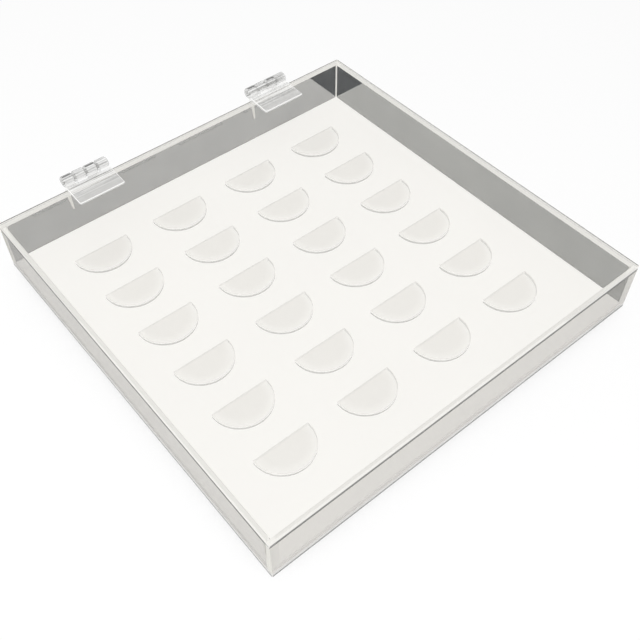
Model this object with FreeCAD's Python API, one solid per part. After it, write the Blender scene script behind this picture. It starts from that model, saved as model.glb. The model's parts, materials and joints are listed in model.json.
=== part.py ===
import FreeCAD, Part
import os
from math import atan2, cos, sin, sqrt

# A flat hinged case of clear sheet that keeps false eyelashes on rows of half-moon pads.
# Sizes are in millimetres. The origin is the middle of the underside, +Z is up and
# +Y points to the back wall, which carries the hinges.

# The case, outside
case_width = 210.0
case_depth = 210.0
base_thickness = 3.0
wall_thickness = 2.5
wall_height = 22.0
lid_thickness = 3.0
lid_gap = 0.1
sheet_edge_break = 0.3

# The film of glue in every bonded joint
glue_line = 0.05

# The thin white board that lies on the floor of the case
board_thickness = 0.5
board_clearance = 0.4

# The half-moon pads, set in rows between margins taken from the inside of the walls
pad_radius = 14.5
pad_depth = 15.8
pad_thickness = 2.0
pad_rows = 6
pad_columns = 4
pad_left_margin = 19.8
pad_right_margin = 21.8
pad_back_margin = 21.3
pad_front_margin = 23.4

# The moulded hinges, one near each end of the back wall
hinge_length = 25.0
hinge_inset = 49.0
barrel_radius = 2.9
knuckle_count = 4
knuckle_gap = 0.3
knuckle_end_break = 0.6
leaf_reach = 17.0
leaf_root_thickness = 2.0
leaf_tip_thickness = 1.0
leaf_corner_radius = 1.0
leaf_border_break = 0.4
leaf_root_fillet = 1.0
pin_radius = 1.2
pin_clearance = 0.05
pin_recess = 0.2

# Places that follow from the sizes
right_face = case_width / 2
back_face = case_depth / 2
inside_right = right_face - wall_thickness
inside_back = back_face - wall_thickness
wall_foot = base_thickness + glue_line
wall_top = wall_foot + wall_height
board_foot = base_thickness + glue_line
board_top = board_foot + board_thickness
pad_foot = board_top + glue_line
lid_foot = wall_top + lid_gap
lid_top = lid_foot + lid_thickness
pin_y = back_face + glue_line + barrel_radius
pin_z = lid_top + glue_line + barrel_radius
leaf_start = barrel_radius + knuckle_gap
knuckle_pitch = (hinge_length + knuckle_gap) / knuckle_count
knuckle_width = knuckle_pitch - knuckle_gap

X_AXIS = FreeCAD.Vector(1, 0, 0)
Y_AXIS = FreeCAD.Vector(0, 1, 0)
Z_AXIS = FreeCAD.Vector(0, 0, 1)


def sheet(low, high):
    """A flat sheet between two corners, with every edge lightly broken."""
    size = high - low
    block = Part.makeBox(size.x, size.y, size.z, low)
    return block.makeChamfer(sheet_edge_break, block.Edges)


def case_sheets():
    """Base, four walls and lid. Front and back walls run the full width."""
    side_reach = inside_back - glue_line
    return {
        "base_plate": sheet(
            FreeCAD.Vector(-right_face, -back_face, 0),
            FreeCAD.Vector(right_face, back_face, base_thickness),
        ),
        "front_wall": sheet(
            FreeCAD.Vector(-right_face, -back_face, wall_foot),
            FreeCAD.Vector(right_face, -inside_back, wall_top),
        ),
        "back_wall": sheet(
            FreeCAD.Vector(-right_face, inside_back, wall_foot),
            FreeCAD.Vector(right_face, back_face, wall_top),
        ),
        "left_wall": sheet(
            FreeCAD.Vector(-right_face, -side_reach, wall_foot),
            FreeCAD.Vector(-inside_right, side_reach, wall_top),
        ),
        "right_wall": sheet(
            FreeCAD.Vector(inside_right, -side_reach, wall_foot),
            FreeCAD.Vector(right_face, side_reach, wall_top),
        ),
        "lid": sheet(
            FreeCAD.Vector(-right_face, -back_face, lid_foot),
            FreeCAD.Vector(right_face, back_face, lid_top),
        ),
    }


def insert_board():
    """The white board, a little smaller than the inside of the walls."""
    half_width = inside_right - board_clearance
    half_depth = inside_back - board_clearance
    corner = FreeCAD.Vector(-half_width, -half_depth, board_foot)
    return Part.makeBox(2 * half_width, 2 * half_depth, board_thickness, corner)


def lash_pad(centre_x, chord_y):
    """A little more than half a disc, cut square from sheet, its straight side to the back wall."""
    half_chord = sqrt(pad_radius ** 2 - (pad_depth - pad_radius) ** 2)
    left = FreeCAD.Vector(centre_x - half_chord, chord_y, pad_foot)
    right = FreeCAD.Vector(centre_x + half_chord, chord_y, pad_foot)
    nearest = FreeCAD.Vector(centre_x, chord_y - pad_depth, pad_foot)
    chord = Part.LineSegment(right, left).toShape()
    arc = Part.Arc(left, nearest, right).toShape()
    return Part.Face(Part.Wire([chord, arc])).extrude(Z_AXIS * pad_thickness)


def lash_pads():
    """All pads, row 1 nearest the hinges and column 1 on the left."""
    first_x = -inside_right + pad_left_margin + pad_radius
    last_x = inside_right - pad_right_margin - pad_radius
    column_pitch = (last_x - first_x) / (pad_columns - 1)
    first_y = inside_back - pad_back_margin
    last_y = -inside_back + pad_front_margin + pad_depth
    row_pitch = (first_y - last_y) / (pad_rows - 1)
    pads = {}
    for row in range(pad_rows):
        for column in range(pad_columns):
            name = f"lash_pad_row{row + 1}_col{column + 1}"
            pads[name] = lash_pad(first_x + column * column_pitch, first_y - row * row_pitch)
    return pads


def leaf_plate(left_end, along, outward):
    """The tapered plate of one leaf, from its notches to its free edge.

    along points from the pin to the free edge, and outward away from the glued face.
    """
    taper = (leaf_root_thickness - leaf_tip_thickness) / leaf_reach
    glued = outward * -barrel_radius

    def top(distance):
        return glued + along * distance + outward * (leaf_root_thickness - taper * distance)

    outline = [
        glued + along * leaf_start,
        glued + along * leaf_reach,
        top(leaf_reach),
        top(leaf_start),
    ]
    corners = [left_end + point for point in outline]
    plate = Part.Face(Part.makePolygon(corners + corners[:1])).extrude(X_AXIS * hinge_length)

    def reach_of(vertex):
        return (vertex.Point - left_end).dot(along)

    def height_of(vertex):
        return (vertex.Point - left_end - glued).dot(outward)

    def at_free_edge(edge):
        return min(reach_of(vertex) for vertex in edge.Vertexes) > leaf_reach - leaf_corner_radius / 2

    def across(edge):
        return edge.BoundBox.XLength < leaf_corner_radius

    free_corners = [edge for edge in plate.Edges if at_free_edge(edge) and across(edge)]
    plate = plate.makeFillet(leaf_corner_radius, free_corners)

    def on_top(edge):
        return min(height_of(vertex) for vertex in edge.Vertexes) > leaf_tip_thickness / 2

    def past_notches(edge):
        return max(reach_of(vertex) for vertex in edge.Vertexes) > leaf_start + leaf_corner_radius

    border = [edge for edge in plate.Edges if on_top(edge) and past_notches(edge)]
    return plate.makeChamfer(leaf_border_break, border)


def knuckle_web(along, outward):
    """Section of a knuckle and the web that joins it to its leaf, about a pin at the origin."""
    tilt = atan2(leaf_root_thickness - leaf_tip_thickness, leaf_reach)
    down_slope = along * cos(tilt) - outward * sin(tilt)
    off_slope = along * sin(tilt) + outward * cos(tilt)
    pin_above_slope = (barrel_radius - leaf_root_thickness) * cos(tilt)
    centre_reach = sqrt(
        (barrel_radius + leaf_root_fillet) ** 2 - (pin_above_slope - leaf_root_fillet) ** 2
    )
    fillet_foot = off_slope * -pin_above_slope + down_slope * centre_reach
    fillet_centre = fillet_foot + off_slope * leaf_root_fillet
    to_fillet = FreeCAD.Vector(fillet_centre).normalize()
    fillet_end = to_fillet * barrel_radius
    halfway = (fillet_foot + fillet_end) * 0.5 - fillet_centre
    fillet_middle = fillet_centre + halfway.normalize() * leaf_root_fillet
    barrel_far = (outward - along).normalize() * barrel_radius
    tangent_point = outward * -barrel_radius
    glued_end = tangent_point + along * fillet_foot.dot(along)
    edges = [
        Part.LineSegment(tangent_point, glued_end).toShape(),
        Part.LineSegment(glued_end, fillet_foot).toShape(),
        Part.Arc(fillet_foot, fillet_middle, fillet_end).toShape(),
        Part.Arc(fillet_end, barrel_far, tangent_point).toShape(),
    ]
    return Part.Face(Part.Wire(edges))


def hinge_leaf(left_end, along, outward, first_knuckle):
    """One moulded leaf: its plate with every second knuckle of the barrel, bored for the pin."""
    leaf = leaf_plate(left_end, along, outward)
    web_width = knuckle_width - 2 * knuckle_end_break
    for index in range(first_knuckle, knuckle_count, 2):
        start = left_end + X_AXIS * (index * knuckle_pitch)
        barrel = Part.makeCylinder(barrel_radius, knuckle_width, start, X_AXIS)
        rims = [edge for edge in barrel.Edges if edge.isClosed()]
        barrel = barrel.makeChamfer(knuckle_end_break, rims)
        web = knuckle_web(along, outward).extrude(X_AXIS * web_width)
        web.translate(start + X_AXIS * knuckle_end_break)
        leaf = leaf.fuse([barrel, web])
    bore = Part.makeCylinder(pin_radius + pin_clearance, hinge_length, left_end, X_AXIS)
    return leaf.cut(bore).removeSplitter()


def hinge_pin(left_end):
    """The clear pin, a little shorter than the barrel, with both ends chamfered."""
    length = hinge_length - 2 * pin_recess
    pin = Part.makeCylinder(pin_radius, length, left_end + X_AXIS * pin_recess, X_AXIS)
    rims = [edge for edge in pin.Edges if edge.isClosed()]
    return pin.makeChamfer(pin_recess, rims)


def hinges():
    """Two hinges, each with a leaf on the back wall, a leaf on the lid and a pin."""
    middles = {"left": -right_face + hinge_inset, "right": right_face - hinge_inset}
    pieces = {}
    for side, middle in middles.items():
        left_end = FreeCAD.Vector(middle - hinge_length / 2, pin_y, pin_z)
        pieces[f"{side}_hinge_wall_leaf"] = hinge_leaf(left_end, -Z_AXIS, Y_AXIS, 0)
        pieces[f"{side}_hinge_lid_leaf"] = hinge_leaf(left_end, -Y_AXIS, Z_AXIS, 1)
        pieces[f"{side}_hinge_pin"] = hinge_pin(left_end)
    return pieces


nodes = {**case_sheets(), "insert_board": insert_board(), **lash_pads(), **hinges()}
os.makedirs("parts", exist_ok=True)
for name, shape in nodes.items():
    solids = shape.Solids
    if len(solids) != 1 or not shape.isValid():
        raise ValueError(f"{name} is not one valid solid")
    solids[0].exportStep(f"parts/{name}.step")
print(len(nodes), "pieces")
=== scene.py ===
# %% [markdown]
# A false eyelash case: a flat square box of clear sheet with a hinged clear lid, a white board on its
# floor and rows of clear half-moon pads on the board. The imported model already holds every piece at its
# real size, so this lesson is about how clear plastic is dressed, lit and photographed.

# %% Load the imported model
import json
from math import radians

import bmesh
import bpy
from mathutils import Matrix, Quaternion, Vector

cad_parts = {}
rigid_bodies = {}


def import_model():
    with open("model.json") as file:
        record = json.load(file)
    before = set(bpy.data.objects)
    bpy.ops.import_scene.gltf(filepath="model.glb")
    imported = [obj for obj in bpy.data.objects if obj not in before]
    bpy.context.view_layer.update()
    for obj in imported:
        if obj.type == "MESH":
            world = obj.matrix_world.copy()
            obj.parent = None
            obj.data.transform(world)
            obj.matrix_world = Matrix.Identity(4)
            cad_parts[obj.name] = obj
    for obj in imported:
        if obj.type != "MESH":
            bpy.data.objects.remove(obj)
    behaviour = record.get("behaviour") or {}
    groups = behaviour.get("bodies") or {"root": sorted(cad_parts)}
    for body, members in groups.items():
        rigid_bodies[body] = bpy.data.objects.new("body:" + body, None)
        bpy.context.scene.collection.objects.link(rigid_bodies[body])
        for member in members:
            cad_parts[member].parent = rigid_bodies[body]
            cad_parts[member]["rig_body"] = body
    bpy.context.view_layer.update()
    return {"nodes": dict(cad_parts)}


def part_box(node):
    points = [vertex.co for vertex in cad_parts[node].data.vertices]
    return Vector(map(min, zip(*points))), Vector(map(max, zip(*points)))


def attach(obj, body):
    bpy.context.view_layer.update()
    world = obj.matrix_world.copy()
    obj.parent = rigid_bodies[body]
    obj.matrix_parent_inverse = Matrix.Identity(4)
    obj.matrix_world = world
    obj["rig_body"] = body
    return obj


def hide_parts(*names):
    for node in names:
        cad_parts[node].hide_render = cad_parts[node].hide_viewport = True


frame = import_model()
nodes = frame["nodes"]
MM = 0.001

# %% [markdown]
# The camera stands in front of the case, to its left, and looks down at about fifty degrees. A camera
# can be set by eye, but here it was worked out from four corners of the lid and three of the base, so
# it is written as the point where the lens stood, the point that it was aimed at and a slight roll. The
# picture is square, so the width of the sensor is also its height. The Standard view transform shows
# white as white.

# %% Camera
camera_place = Vector((-173.8, -217.7, 309.8)) * MM
camera_aim = Vector((-25.7, -37.5, 28.0)) * MM
camera_roll = radians(-0.30)
camera_lens = 48.2
sensor_width = 36.0
nearest_seen = 10 * MM


def add_object(name, data):
    """A new object that is linked into the scene."""
    made = bpy.data.objects.new(name, data)
    bpy.context.scene.collection.objects.link(made)
    return made


def stand_and_aim(thing, place, target):
    """Stands a camera or a lamp at a place and points it at a target."""
    thing.location = place
    thing.rotation_mode = "QUATERNION"
    thing.rotation_quaternion = (target - place).to_track_quat("-Z", "Y")


camera_data = bpy.data.cameras.new("camera")
camera_data.sensor_width = sensor_width
camera_data.lens = camera_lens
camera_data.clip_start = nearest_seen
camera = add_object("camera", camera_data)
stand_and_aim(camera, camera_place, camera_aim)
camera.rotation_quaternion = camera.rotation_quaternion @ Quaternion((0, 0, 1), camera_roll)
bpy.context.scene.camera = camera
bpy.context.scene.view_settings.view_transform = "Standard"
print("camera to aim, metres:", round((camera_aim - camera_place).length, 3))

# %% [markdown]
# Materials are node trees. Arithmetic in a node tree takes one Math node for each sign, which is slow
# to write and hard to read, so a small class wraps an output socket and turns Python's own signs into
# Math nodes. A comparison gives 1 where it is true and 0 elsewhere, so `*` reads as "and", and `|` as
# "or".


# %% Shader arithmetic
class Wire:
    """An output socket. Arithmetic on it adds Math nodes to the tree that it belongs to."""

    def __init__(self, finish, socket):
        self.finish = finish
        self.socket = socket

    def math(self, operation, *others):
        inputs = dict(enumerate((self, *others)))
        return self.finish.node("ShaderNodeMath", {"operation": operation}, inputs)

    def __add__(self, other):
        return self.math("ADD", other)

    def __sub__(self, other):
        return self.math("SUBTRACT", other)

    def __rsub__(self, other):
        return self.math("MULTIPLY_ADD", -1.0, other)

    def __mul__(self, other):
        return self.math("MULTIPLY", other)

    def __pow__(self, other):
        return self.math("POWER", other)

    def __abs__(self):
        return self.math("ABSOLUTE")

    def __gt__(self, other):
        return self.math("GREATER_THAN", other)

    def __lt__(self, other):
        return self.math("LESS_THAN", other)

    def __or__(self, other):
        return self.math("MAXIMUM", other)

    __radd__ = __add__
    __rmul__ = __mul__


print("signs that make nodes: + - * ** abs > < |")

# %% [markdown]
# Every other node comes from one method that takes its type, its settings and its inputs. An input that
# is a wire is linked, and any other value is set on the socket. A tree can also be drawn by hand in the
# Shader Editor, but a script keeps every number beside its name, and the same class serves materials
# and the world.


# %% Node trees
class Finish:
    """A node tree that is filled by calls, for a material or for the world."""

    def __init__(self, owner):
        owner.use_nodes = True
        self.owner = owner
        self.tree = owner.node_tree
        self.tree.nodes.clear()

    def node(self, kind, settings=None, inputs=None, output=0):
        made = self.tree.nodes.new(kind)
        for name, value in (settings or {}).items():
            setattr(made, name, value)
        for name, value in (inputs or {}).items():
            if isinstance(value, Wire):
                self.tree.links.new(value.socket, made.inputs[name])
            else:
                made.inputs[name].default_value = value
        return Wire(self, made.outputs[output]) if made.outputs else None

    def outputs(self, first, *names):
        """More outputs of the node that a wire comes from."""
        return [Wire(self, first.socket.node.outputs[name]) for name in names]

    def split(self, vector):
        """The three parts of a vector, by the names of their axes."""
        first = self.node("ShaderNodeSeparateXYZ", inputs={0: vector}, output="X")
        return dict(zip("XYZ", [first, *self.outputs(first, "Y", "Z")]))

    def ramp(self, value, start, end, low, high, kind="LINEAR"):
        """A value that runs from low at start to high at end, and stays level beyond them."""
        inputs = {0: value, 1: start, 2: end, 3: low, 4: high}
        return self.node("ShaderNodeMapRange", {"interpolation_type": kind}, inputs)

    def mix(self, share, first, second):
        return self.node("ShaderNodeMixShader", inputs={0: share, 1: first, 2: second})

    def show(self, shader, kind="ShaderNodeOutputMaterial"):
        self.node(kind, inputs={"Surface": shader})
        return self.owner


def new_finish(name):
    return Finish(bpy.data.materials.new(name))


print("a finish has the methods node, outputs, split, ramp, mix and show")

# %% [markdown]
# The case lies on a white table that fills the whole picture. A curved backdrop would hide the far edge
# of the table, but from above one large square of mesh is enough. It lies a hair below the case, so
# that the two faces don't flicker through each other, and it has no shine, because a mirror of the
# bright room would show as a pale veil.

# %% Table
table_side = 8.0
table_drop = 0.2 * MM
table_white = (0.99, 0.99, 0.99, 1.0)
table_grain = {"Scale": 40.0, "Detail": 4.0}
table_roughness = (0.7, 0.2)

table_mesh = bpy.data.meshes.new("floor")
sketch = bmesh.new()
bmesh.ops.create_grid(sketch, x_segments=1, y_segments=1, size=table_side / 2)
bmesh.ops.translate(sketch, verts=sketch.verts, vec=(0, 0, -table_drop))
sketch.to_mesh(table_mesh)
sketch.free()
table = add_object("floor", table_mesh)

paint = new_finish("table_white")
grain = paint.node("ShaderNodeTexNoise", inputs=table_grain)
table_mesh.materials.append(paint.show(paint.node("ShaderNodeBsdfPrincipled", inputs={
    "Base Color": table_white,
    "Roughness": table_roughness[0] + table_roughness[1] * grain,
    "Specular IOR Level": 0.0,
})))
print("table", table_side, "m wide")

# %% [markdown]
# The room is white all around, like a tent of white cloth, so its light comes evenly from everywhere.
# What is seen of it, straight on, in a mirror or through clear plastic, is plain white. The light that
# falls on things is a little weaker, so that pale plastic doesn't burn out, and the kinds of ray tell
# the two apart. A picture of a real room would give livelier mirrors, but clear sheet would show it
# everywhere.

# %% White room
room_light = 0.88
room_white = (1.0, 1.0, 1.0, 1.0)

room = Finish(bpy.data.worlds.new("studio"))
bpy.context.scene.world = room.owner
camera_ray = room.node("ShaderNodeLightPath", output="Is Camera Ray")
glossy_ray, clear_ray = room.outputs(camera_ray, "Is Glossy Ray", "Is Transmission Ray")
seen = camera_ray | glossy_ray | clear_ray
room.show(room.node("ShaderNodeBackground", inputs={
    "Color": room_white,
    "Strength": room_light + (1.0 - room_light) * seen,
}), "ShaderNodeOutputWorld")
print("light on things, as a share of the white that is seen:", room_light)

# %% [markdown]
# Even light alone makes every face of a white thing equally bright. One wide, weak lamp stands high in
# front of the case, to its left, and gives the edges a little direction. A sun lamp would do that too,
# but with hard shadows, and a wide lamp throws none.

# %% Lamp
lamp_place = Vector((-500.0, -350.0, 1200.0)) * MM
lamp_side = 0.9
lamp_power = 3.0

lamp_data = bpy.data.lights.new("softbox", "AREA")
lamp_data.size = lamp_side
lamp_data.energy = lamp_power
lamp = add_object("softbox", lamp_data)
stand_and_aim(lamp, lamp_place, Vector())
print("lamp stands", round(lamp_place.length, 2), "m from the case")

# %% [markdown]
# Clear plastic lets light through in two ways here. A thin film only tints it, and a thick sheet also
# bends it, as acrylic does. A Glass shader does the bending and the mirror at once, but apart they can
# differ from face to face. Lamps and scattered light pass every clear piece untouched, because bent
# light finds a lamp so rarely that the inside of the case would be dark and full of grain.

# %% Ways through clear plastic
clear_white = (1.0, 1.0, 1.0)
plastic_ior = 1.49


def clear_film(finish, tint):
    return finish.node("ShaderNodeBsdfTransparent", inputs={"Color": (*tint, 1.0)})


def open_air(finish):
    return clear_film(finish, clear_white)


def bend(finish, tint):
    """Light that goes on through a face and is bent by the plastic."""
    return finish.node("ShaderNodeBsdfRefraction", inputs={
        "Color": (*tint, 1.0), "Roughness": 0.0, "IOR": plastic_ior,
    })


def let_light_in(finish, shader):
    """The same shader to the eye, but lamps and scattered light pass it."""
    shadow_ray = finish.node("ShaderNodeLightPath", output="Is Shadow Ray")
    scattered = finish.outputs(shadow_ray, "Is Diffuse Ray")[0]
    return finish.mix(shadow_ray | scattered, shader, open_air(finish))


print("refractive index of the plastic:", plastic_ior)

# %% [markdown]
# A polished face mirrors little when it is seen straight on and much when it is seen flat. Handling
# leaves it a little uneven, so its roughness wanders by a noise on the object's own coordinates. The
# mirror's share follows the facing angle alone, which is the same from both sides of a face, where a
# Fresnel node would mirror everything at a slant on the way out. A matt skin, for milky or grey places,
# covers a share of what is behind it.

# %% Mirrors and skins
handling = {"Detail": 5.0, "Roughness": 0.6}
polish_patch = 25 * MM
polish_roughness = (0.01, 0.05)
facing_blend = 0.5
share_patch = 30 * MM
share_wander = (0.88, 1.12)
skin_patch = 4 * MM
skin_roughness = (0.25, 0.5)


def smudges(finish, size, low, high):
    """A value that wanders between low and high over patches of about size metres."""
    place = finish.node("ShaderNodeTexCoord", output="Object")
    patch = finish.node("ShaderNodeTexNoise", inputs={"Vector": place, "Scale": 1.0 / size, **handling})
    return low + (high - low) * patch


def facing_share(finish, head_on, rise):
    """The share of light that a face mirrors: head_on seen straight, and all of it edge on."""
    facing = finish.node("ShaderNodeLayerWeight", inputs={"Blend": facing_blend}, output="Facing")
    return head_on + (1.0 - head_on) * facing ** rise


def pane(finish, through, colour, head_on, rise, in_mirrors):
    """A polished face with a mirror on it, which can be weaker where another mirror shows it."""
    mirror = finish.node("ShaderNodeBsdfGlossy", inputs={
        "Color": (*colour, 1.0), "Roughness": smudges(finish, polish_patch, *polish_roughness),
    })
    mirrored = finish.node("ShaderNodeLightPath", output="Is Reflection Ray")
    share = facing_share(finish, head_on, rise) * (1.0 - (1.0 - in_mirrors) * mirrored)
    return finish.mix(share * smudges(finish, share_patch, *share_wander), through, mirror)


def skin(finish, colour, cover):
    """A matt skin that covers a share of what is behind it."""
    matt = finish.node("ShaderNodeBsdfPrincipled", inputs={
        "Base Color": (*colour, 1.0), "Roughness": smudges(finish, skin_patch, *skin_roughness),
    })
    return finish.mix(cover, open_air(finish), matt)


print("a mirror patch is", polish_patch / MM, "mm wide")

# %% [markdown]
# Clear sheet has three looks on one piece: broad faces, sawn edges, and the lightly broken corners
# between them. Three materials on sorted faces would do, but the face's own direction tells them apart
# in one: along the thickness of the sheet, square to it, or in between. Light meets a face from its
# front or, on its way out, from its back. Blender then turns the direction over, so the class below
# turns it back.


# %% Reading a surface
class Surface:
    """Where a point is and which way its face turns, as wires of one finish."""

    def __init__(self, finish):
        normal = finish.node("ShaderNodeTexCoord", output="Normal")
        self.place = finish.outputs(normal, "Object")[0]
        self.leaving = finish.node("ShaderNodeNewGeometry", output="Backfacing")
        self.entering = 1.0 - self.leaving
        turn_back = 1.0 - 2.0 * self.leaving
        self.turn = {axis: part * turn_back for axis, part in finish.split(normal).items()}
        self.at = finish.split(self.place)
        # Over 0 where a face looks away from the middle of the case
        inputs = {0: normal, 1: self.place}
        outward = finish.node("ShaderNodeVectorMath", {"operation": "DOT_PRODUCT"}, inputs, output="Value")
        self.outward = outward * turn_back


print("a surface gives place, at, turn, outward, entering and leaving")

# %% [markdown]
# A sawn edge is milky, because light that runs along inside the sheet comes out there. The corners are
# broken with a scraper, and some of them carry a thin grey line of painted shade. It stands for the
# dark that a clear slanted corner shows, and it is fainter where it is seen through the sheet. These lines
# are what makes a clear box readable against white. Thin strips of mesh could carry them, but the
# corners are already in the sheets, so each kind of sheet only says which of its corners are grey.

# %% Edges of a sheet
milky_white = (0.90, 0.885, 0.845)
line_grey = (0.20, 0.20, 0.19)
square_on = 0.95
half_turned = 0.5
corner_cover = 0.85
line_loss = 0.6


def whole_sheet(finish, spot, axis, broad, cut, pale, is_line):
    """A sheet with its thickness along an axis: broad faces, cuts, pale corners and grey ones."""
    # Painted shade: the grey corner line stands for the dark that a clear slanted corner shows
    grey = skin(finish, line_grey, corner_cover)
    corner = finish.mix(is_line * (1.0 - line_loss * spot.leaving), pale, grey)
    is_face = abs(spot.turn[axis]) > square_on
    first, second = [abs(spot.turn[other]) for other in "XYZ" if other != axis]
    is_cut = (first | second) > square_on
    edge = finish.mix(is_cut, corner, cut)
    return finish.show(let_light_in(finish, finish.mix(is_face, edge, broad)))


def dress(node, material):
    nodes[node].data.materials.clear()
    nodes[node].data.materials.append(material)


print("a face counts as broad if its direction lies over", square_on, "along the thickness")

# %% [markdown]
# The lid and the base plate are plain flat sheets. Their faces are nearly colourless and mirror little,
# and the bending of light in the lid moves all that lies under it a millimetre or so, as in a real
# case. Part of their cut edges is a grey band of painted shade, as where the edge shows the dark gap
# below the sheet. The band is set by height and not by more faces, so that the sheets stay the plain
# blocks that they are. The edge of the base is duller than that of the lid, because less of the room's
# light reaches it.

# %% Lid and base plate
base_white = (0.69, 0.682, 0.66)
flat_tint = (0.975, 0.975, 0.97)
flat_mirror = {"colour": clear_white, "head_on": 0.015, "rise": 5.0, "in_mirrors": 1.0}
flat_edge_cover = 0.9
band_cover = 0.92


def flat_sheet(name, edge_white, band_top, inner_band_foot):
    """A level sheet. Its cut edge is grey up to a height and, seen through the sheet, from another."""
    finish = new_finish(name)
    spot = Surface(finish)
    top_face = pane(finish, bend(finish, flat_tint), **flat_mirror)
    broad = finish.mix(spot.leaving, top_face, bend(finish, clear_white))
    height = spot.at["Z"]
    # Painted shade: a grey band on the cut edge, low from outside and high where seen through the sheet
    in_band = spot.entering * (height < band_top) + spot.leaving * (height > inner_band_foot)
    milky = skin(finish, edge_white, flat_edge_cover)
    cut = finish.mix(in_band, milky, skin(finish, line_grey, band_cover))
    pale = skin(finish, edge_white, corner_cover)
    # Painted shade: a grey line along the lower outer corner of the sheet
    is_line = (spot.turn["Z"] < -half_turned) * (spot.outward > 0.0)
    return whole_sheet(finish, spot, "Z", broad, cut, pale, is_line)


base_low, base_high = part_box("base_plate")
lid_low, lid_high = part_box("lid")
lid_band = 1.25 * MM
lid_inner_band = 1.6 * MM
base_band_top = (base_low.z + base_high.z) / 2
lid_band_top = lid_low.z + lid_band
lid_inner_band_foot = lid_high.z - lid_inner_band
dress("base_plate", flat_sheet("base_plate_sheet", base_white, base_band_top, base_high.z))
dress("lid", flat_sheet("lid_sheet", milky_white, lid_band_top, lid_inner_band_foot))
print("lid", round((lid_high.z - lid_low.z) / MM, 2), "mm thick")

# %% [markdown]
# A wall is seen in two ways. From outside it is pale, with a weak mirror. From inside it mirrors a good
# part of the white board and lets little else through, so it reads as grey. Where one wall is seen in
# another, that mirror is weaker, which leaves the dark patches in the far corner. The side walls look a
# shade darker and yellower than the front and back ones, so each pair has a mirror of its own. One
# glass for both faces would be simpler, but on a white table its inside comes out almost as white as
# the board.

# %% Faces of a wall
outer_tint = (0.80, 0.79, 0.775)
outer_mirror = {"colour": (0.50, 0.497, 0.49), "head_on": 0.075, "rise": 5.0, "in_mirrors": 1.0}
inner_tint = (0.03, 0.034, 0.04)
inner_mirrors = {
    "X": {"colour": (0.985, 0.99, 0.965), "head_on": 0.37, "rise": 3.5, "in_mirrors": 0.3},
    "Y": {"colour": (1.0, 1.0, 0.99), "head_on": 0.42, "rise": 3.5, "in_mirrors": 0.3},
}


def wall_faces(finish, spot, axis):
    outer = pane(finish, bend(finish, outer_tint), **outer_mirror)
    inner = pane(finish, bend(finish, inner_tint), **inner_mirrors[axis])
    going_in = finish.mix(spot.outward < 0.0, outer, inner)
    return finish.mix(spot.leaving, going_in, bend(finish, clear_white))


print("an inner face mirrors", inner_mirrors["Y"]["head_on"], "of what it sees straight on")

# %% [markdown]
# The walls are joined to the base and to each other with glue, and the glue leaves a pale bead along
# each joint, inside the case. Beads could be modelled as thin strips, but on so clear a piece they are
# only a change of colour, so they are painted by height and by distance from the corner. Seen through
# the wall they look wider, and along the foot of the side walls they are duller. Each hinge leaf is
# stuck to the outside of the back wall, and a narrow pale wedge is painted on the wall's inner face where
# its side would show through: a painted highlight in the colours of the bead.

# %% Glue and painted leaf highlights on a wall
bead_height = 0.4 * MM
bead_width = 0.6 * MM
bead_rise = 2.1 * MM
bead_spread = 1.5 * MM
foot_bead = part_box("back_wall")[0].z + bead_height
corner_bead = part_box("right_wall")[0].x - bead_width
left_leaf_low, left_leaf_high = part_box("left_hinge_wall_leaf")
hinge_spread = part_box("right_hinge_wall_leaf")[0].x - left_leaf_low.x
wedge_lift = 2.1 * MM
wedge_foot = left_leaf_low.z + wedge_lift
wedge_foot_width = 0.8 * MM
wedge_taper = 0.13
wedge_right = 0.6 * MM
foot_whites = {"X": (0.78, 0.77, 0.745), "Y": (0.91, 0.90, 0.875)}
seam_white = (0.95, 0.94, 0.905)
inside_cover = 0.8
foot_cover = 0.85
seam_cover = 0.9


def leaf_wedges(along, height):
    """Where a painted highlight stands for the side of each hinge leaf seen through the back wall: a
    wedge, wide at its top.
    """
    from_leaf = (along - left_leaf_low.x).math("WRAP", hinge_spread / 2, -hinge_spread / 2)
    width = wedge_foot_width + wedge_taper * (height - wedge_foot)
    return (from_leaf < wedge_right) * (from_leaf > wedge_right - width) * (height > wedge_foot)


def glue_and_leaf_highlight_on(finish, spot, axis, broad, has_hinges):
    """The faces of a wall with the glue, and on the back wall the painted leaf highlights, on its inner
    side.
    """
    along = spot.at["X" if axis == "Y" else "Y"]
    at_seam = abs(along) > corner_bead - bead_spread * spot.leaving
    at_foot = spot.at["Z"] < foot_bead + bead_rise * spot.leaving
    bead_and_leaf_highlight = at_seam | at_foot
    if has_hinges:
        # Painted highlight: pale wedges where the sides of the hinge leaves would show through the wall
        bead_and_leaf_highlight = bead_and_leaf_highlight | leaf_wedges(along, spot.at["Z"])
    foot = skin(finish, foot_whites[axis], foot_cover)
    through_wall = finish.mix(at_foot, skin(finish, seam_white, seam_cover), foot)
    bead = finish.mix(spot.leaving, skin(finish, milky_white, inside_cover), through_wall)
    return finish.mix(bead_and_leaf_highlight * (spot.outward < 0.0), broad, bead)


print("from one hinge to the other:", round(hinge_spread / MM, 1), "mm")

# %% [markdown]
# The four walls now get their faces, their glue and their edges, and the back wall gets its painted leaf
# highlights. A wall's top edge is bright, because the room shines into it from above. Its upright ends
# are duller and warmer from outside, and its upper outer corner carries the grey line of painted shade
# that draws the rim of the case. One material for all four would do if they stood the same way, but the
# thickness of two runs along X and of two along Y, so one function makes four.

# %% Walls
wall_axes = {"front_wall": "Y", "back_wall": "Y", "left_wall": "X", "right_wall": "X"}
rim_cover = 0.9
end_white = (0.70, 0.69, 0.625)
end_cover = 0.7
inner_end_cover = 0.8


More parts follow.
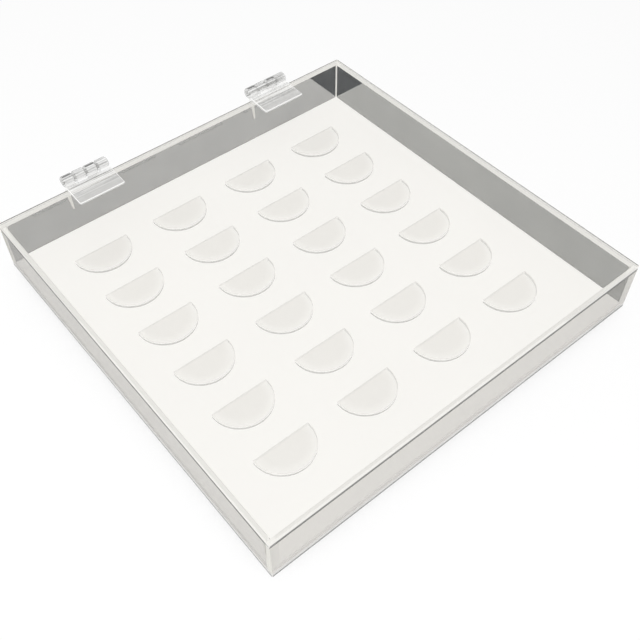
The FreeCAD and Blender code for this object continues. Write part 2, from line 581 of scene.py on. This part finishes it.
def wall_sheet(name, axis, has_hinges):
    """An upright sheet whose thickness runs along X or Y."""
    finish = new_finish(name)
    spot = Surface(finish)
    broad = glue_and_leaf_highlight_on(finish, spot, axis, wall_faces(finish, spot, axis), has_hinges)
    is_level = abs(spot.turn["Z"]) > half_turned
    inner_end = skin(finish, milky_white, inner_end_cover)
    end = finish.mix(spot.leaving, skin(finish, end_white, end_cover), inner_end)
    cut = finish.mix(is_level, end, skin(finish, milky_white, rim_cover))
    pale = finish.mix(is_level, end, skin(finish, milky_white, corner_cover))
    # Painted shade: a grey line along the upper outer corner of the wall
    is_upper = (spot.turn["Z"] > half_turned) * (abs(spot.turn[axis]) > half_turned)
    return whole_sheet(finish, spot, axis, broad, cut, pale, is_upper * (spot.outward > 0.0))


for node, axis in wall_axes.items():
    dress(node, wall_sheet(node + "_sheet", axis, node == "back_wall"))
print("walls dressed:", ", ".join(wall_axes))

# %% [markdown]
# The board is white card or foamed sheet, matt and a little warm, with a very faint unevenness from
# handling and a fine tooth. An image of paper would do as well, but two noises, one of broad clouds and
# one of fibres finer than half a millimetre, stay sharp at any distance.

# %% White board
cloud_size = 55 * MM
cloud_detail = 3.0
fibre_size = 0.4 * MM
fibre_detail = 2.0
fibre_depth = 0.02 * MM
fibre_strength = 0.08
board_roughness = (0.55, 0.15)
board_dull = (0.94, 0.925, 0.895, 1.0)
board_clean = (0.97, 0.955, 0.92, 1.0)

board = new_finish("white_board")
place = board.node("ShaderNodeTexCoord", output="Object")
cloud = board.node("ShaderNodeTexNoise", inputs={
    "Vector": place, "Scale": 1.0 / cloud_size, "Detail": cloud_detail,
})
fibre = board.node("ShaderNodeTexNoise", inputs={
    "Vector": place, "Scale": 1.0 / fibre_size, "Detail": fibre_detail,
})
# Inputs 6 and 7 of a Mix node are its two colours, and output 2 is the mixed colour
paper = board.node(
    "ShaderNodeMix", {"data_type": "RGBA"}, {0: cloud, 6: board_dull, 7: board_clean}, output=2
)
tooth = board.node("ShaderNodeBump", inputs={
    "Strength": fibre_strength, "Distance": fibre_depth, "Height": fibre,
})
dress("insert_board", board.show(board.node("ShaderNodeBsdfPrincipled", inputs={
    "Base Color": paper,
    "Roughness": board_roughness[0] + board_roughness[1] * cloud,
    "Normal": tooth,
})))

# %% [markdown]
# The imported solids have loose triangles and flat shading, which show as facets on small round parts.
# Pads and hinges are therefore shown as copies: their triangles are merged into whole faces, small
# faces are shaded smooth and sharp edges may be rounded by a Bevel modifier. A copy rides on the same
# body as its node and stands for it.

# %% Smooth copies
weld_distance = 0.002 * MM
flat_angle = radians(0.5)
broad_area = 20 * MM * MM
crease_angle = radians(35)
rounded_angle = radians(50)
rounding_steps = 2


def welded_mesh(node, name):
    """The mesh of a node with its triangles merged and its small faces shaded smooth."""
    mesh = bpy.data.meshes.new(name)
    sketch = bmesh.new()
    sketch.from_mesh(nodes[node].data)
    bmesh.ops.remove_doubles(sketch, verts=sketch.verts, dist=weld_distance)
    bmesh.ops.dissolve_limit(sketch, angle_limit=flat_angle, verts=sketch.verts, edges=sketch.edges)
    for face in sketch.faces:
        face.smooth = face.calc_area() < broad_area
    sketch.to_mesh(mesh)
    sketch.free()
    imported = mesh.attributes.get("custom_normal")
    if imported:
        mesh.attributes.remove(imported)
    mesh.set_sharp_from_angle(angle=crease_angle)
    return mesh


def smooth_copy(node, name, material, round_off=0.0):
    """A welded copy of a node that stands for it, with its sharp edges rounded if asked."""
    piece = add_object(name, welded_mesh(node, name))
    piece.data.materials.append(material)
    if round_off:
        rounding = piece.modifiers.new("rounding", "BEVEL")
        rounding.width = round_off
        rounding.segments = rounding_steps
        rounding.limit_method = "ANGLE"
        rounding.angle_limit = rounded_angle
    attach(piece, nodes[node]["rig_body"])
    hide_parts(node)


print("faces under", round(broad_area / MM / MM), "square mm are shaded smooth")

# %% [markdown]
# All the pads share one material, which has to know how far a point lies from the edges of its own pad.
# A pad's own centre could be given by an origin on each copy, but the pieces stay at the origin of the
# model, so the material finds its way by wrapping the place into one cell of the grid. From there the
# distance to the round side and to the straight side follow by plain geometry.

# %% Finding the way on a pad
pad_low, pad_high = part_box("lash_pad_row1_col1")
column_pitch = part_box("lash_pad_row1_col2")[0].x - pad_low.x
row_pitch = pad_low.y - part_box("lash_pad_row2_col1")[0].y
pad_depth = pad_high.y - pad_low.y
pad_radius = (pad_high.x - pad_low.x) / 2
pad_centre_x = pad_low.x + pad_radius
pad_centre_y = pad_low.y + pad_radius
straight_side = pad_depth - pad_radius
half_gap = (row_pitch - pad_depth) / 2


def pad_distances(spot):
    """How far a point lies inside the round side and inside the straight side of its pad."""
    across = (spot.at["X"] - pad_centre_x).math("WRAP", column_pitch / 2, -column_pitch / 2)
    along = (spot.at["Y"] - pad_centre_y).math("WRAP", straight_side + half_gap, -pad_radius - half_gap)
    from_round = pad_radius - (across * across + along * along) ** 0.5
    from_straight = straight_side - along
    return from_round, from_straight


print("pads", round(2 * pad_radius / MM, 1), "mm wide,", round(column_pitch / MM, 1), "mm apart")

# %% [markdown]
# The pads are clear half moons with a satin top, which is why they look a shade greyer than the board.
# The tint fades a little towards the round side. A fine grey ring along the round edge and a line along
# the straight one are painted shade, where a clear edge looks dark. Their sides show a thin grey line,
# where the side bends away the light of the board, under a pale band. They are thin and lie on the
# board, so they only tint the light and don't bend it.

# %% Pad plastic
pad_tint = (0.905, 0.90, 0.89)
pad_white = (0.97, 0.965, 0.95)
pad_satin = (8 * MM, 0.10, 0.22)
pad_mirror = (0.02, 5.0)
tint_fade = (0.4 * MM, 5.0 * MM, 0.5, 1.0)
ring_width = 0.4 * MM
straight_line_width = 1.1 * MM
ring_cover = 0.06
straight_line_cover = 0.08
side_line_height = 1.3 * MM
side_line_top = pad_low.z + side_line_height
side_line_cover = 0.45
straight_side_cover = 0.10
far_side_cover = 0.28
side_band_cover = 0.3
level_from = 0.7


def pad_top(finish, from_round, from_straight):
    """The satin top of a pad, with its fading tint and the fine lines along its edges."""
    tinted = finish.ramp(from_round, *tint_fade, kind="SMOOTHSTEP")
    see_through = finish.mix(tinted, open_air(finish), clear_film(finish, pad_tint))
    mirror = finish.node("ShaderNodeBsdfGlossy", inputs={
        "Color": (*clear_white, 1.0), "Roughness": smudges(finish, *pad_satin),
    })
    top = finish.mix(facing_share(finish, *pad_mirror), see_through, mirror)
    # Painted shade: faint grey lines along the round and straight edges of the top
    ring = ring_cover * (from_round < ring_width)
    straight_line = straight_line_cover * (from_straight < straight_line_width)
    return finish.mix(ring + straight_line, top, skin(finish, line_grey, 1.0))


def pad_plastic():
    finish = new_finish("pad_plastic")
    spot = Surface(finish)
    from_round, from_straight = pad_distances(spot)
    is_low = spot.at["Z"] < side_line_top
    line_cover = side_line_cover - (side_line_cover - straight_side_cover) * (from_straight < ring_width)
    near_line = skin(finish, line_grey, line_cover)
    near_side = finish.mix(is_low, skin(finish, pad_white, side_band_cover), near_line)
    far_line = skin(finish, line_grey, far_side_cover)
    far_side = finish.mix(is_low * (from_straight > ring_width), open_air(finish), far_line)
    is_level = abs(spot.turn["Z"]) > level_from
    going_in = finish.mix(is_level, near_side, pad_top(finish, from_round, from_straight))
    going_out = finish.mix(is_level, far_side, open_air(finish))
    return finish.show(let_light_in(finish, finish.mix(spot.leaving, going_in, going_out)))


pad_rounding = 0.25 * MM
pad_material = pad_plastic()
pads = sorted(node for node in nodes if node.startswith("lash_pad"))
for node in pads:
    smooth_copy(node, node.replace("lash_pad", "half_moon"), pad_material, pad_rounding)
print(len(pads), "pads rounded by", pad_rounding / MM, "mm")

# %% [markdown]
# The hinges are moulded of clear plastic. The streaks along the barrel are a noise drawn out along its
# length. A knuckle is too small and too curved to see through, so what it shows is painted instead of
# being traced as glass: grey and white streaks as painted reflections, and darker outlines and ends as
# painted shade. A dark dash of painted shade along the top of the knuckles that belong to the wall leaf
# stands for the bore seen through them.

# %% Hinge barrel
pin_low, pin_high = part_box("left_hinge_pin")
pin_middle = (pin_low + pin_high) / 2
barrel_radius = left_leaf_high.z - pin_middle.z
barrel_margin = 0.1 * MM
barrel_edge = barrel_radius + barrel_margin
hinge_white = (0.95, 0.95, 0.94)
barrel_grey = (0.42, 0.42, 0.41)
outline_grey = (0.30, 0.30, 0.29)
dash_grey = (0.06, 0.06, 0.06)
streak_stretch = (25.0, 1100.0, 1100.0)
streak_detail = 3.0
streak_range = (0.42, 0.58, 0.0, 1.0)
barrel_streak_covers = (0.42, 0.6)
end_turn = 0.6
end_shade = 0.2
outline_rise = 2.5
outline_cover = 0.45
dash_turn = 0.978


def streaks(finish, spot):
    drawn_out = finish.node(
        "ShaderNodeVectorMath", {"operation": "MULTIPLY"}, {0: spot.place, 1: streak_stretch}
    )
    streak_noise = finish.node("ShaderNodeTexNoise", inputs={
        "Vector": drawn_out, "Scale": 1.0, "Detail": streak_detail,
    })
    return finish.ramp(streak_noise, *streak_range)


def streaked_skin(finish, streak, grey_cover, white_cover):
    # Painted reflection: grey and white skins laid along the streaks
    grey = skin(finish, barrel_grey, grey_cover)
    return finish.mix(streak, grey, skin(finish, hinge_white, white_cover))


def hinge_barrel(finish, spot, streak, dash):
    """Knuckles with streaks, shaded ends, a dark outline and a dash of the given strength."""
    body = streaked_skin(finish, streak, *barrel_streak_covers)
    # Painted shade: darker ends, then a darker outline by facing angle, as the rim of a clear rod
    body = finish.mix(abs(spot.turn["X"]) > end_turn, body, skin(finish, outline_grey, end_shade))
    outline = skin(finish, outline_grey, outline_cover)
    barrel = finish.mix(facing_share(finish, 0.0, outline_rise), body, outline)
    # Painted shade: a dark dash on top, standing for the bore seen through the knuckle
    is_dash = (spot.turn["Z"] > dash_turn) * spot.entering
    return finish.mix(dash * is_dash, barrel, skin(finish, dash_grey, 1.0))


print("barrel", round(2 * barrel_radius / MM, 1), "mm thick")

# %% [markdown]
# A leaf is a thin clear plate. It is nearly clear at its free end and takes on the barrel's streaks
# towards the pin, where it is thick. Its broken border catches the light and is almost white. The
# distance from the pin tells leaf and barrel apart, so that one material serves a whole moulded piece.

# %% Hinge leaves and pins
leaf_grey = (0.93, 0.93, 0.92)
leaf_cover = 0.36
leaf_streak_covers = (0.3, 0.75)
streaks_fade = (6 * MM, 15 * MM, 1.0, 0.0)
border_turn = 0.2
border_cover = 0.95
leaf_side_cover = 0.45
wall_dash = 0.8
square_to_pin = (0.0, 1.0, 1.0)


def hinge_leaf(finish, spot, axis, reach, streak):
    """A clear plate that lies square to an axis, with a white border."""
    streaked = streaked_skin(finish, streak, *leaf_streak_covers)
    near_pin = finish.ramp(reach, *streaks_fade)
    plate = finish.mix(near_pin, skin(finish, leaf_grey, leaf_cover), streaked)
    flat = finish.mix(spot.leaving, plate, open_air(finish))
    turned = abs(spot.turn[axis])
    side = skin(finish, hinge_white, leaf_side_cover)
    border = finish.mix(turned > border_turn, side, skin(finish, hinge_white, border_cover))
    return finish.mix(turned > square_on, border, flat)


def hinge_plastic(name, axis, dash=0.0):
    finish = new_finish(name)
    spot = Surface(finish)
    from_pin = finish.node("ShaderNodeVectorMath", {"operation": "MULTIPLY_ADD"}, {
        0: spot.place, 1: square_to_pin, 2: (0.0, -pin_middle.y, -pin_middle.z),
    })
    reach = finish.node("ShaderNodeVectorMath", {"operation": "LENGTH"}, {0: from_pin}, output="Value")
    streak = streaks(finish, spot)
    barrel = hinge_barrel(finish, spot, streak, dash)
    leaf = hinge_leaf(finish, spot, axis, reach, streak)
    return finish.show(let_light_in(finish, finish.mix(reach > barrel_edge, barrel, leaf)))


hinge_materials = {
    "wall_leaf": hinge_plastic("hinge_wall_leaf", "Y", wall_dash),
    "lid_leaf": hinge_plastic("hinge_lid_leaf", "Z"),
    "pin": hinge_plastic("hinge_pin", "X"),
}
hinge_parts = sorted(node for node in nodes if "hinge" in node)
for node in hinge_parts:
    material = hinge_materials[node.split("_hinge_")[1]]
    smooth_copy(node, node.replace("hinge", "moulded"), material)
print(len(hinge_parts), "hinge pieces dressed")
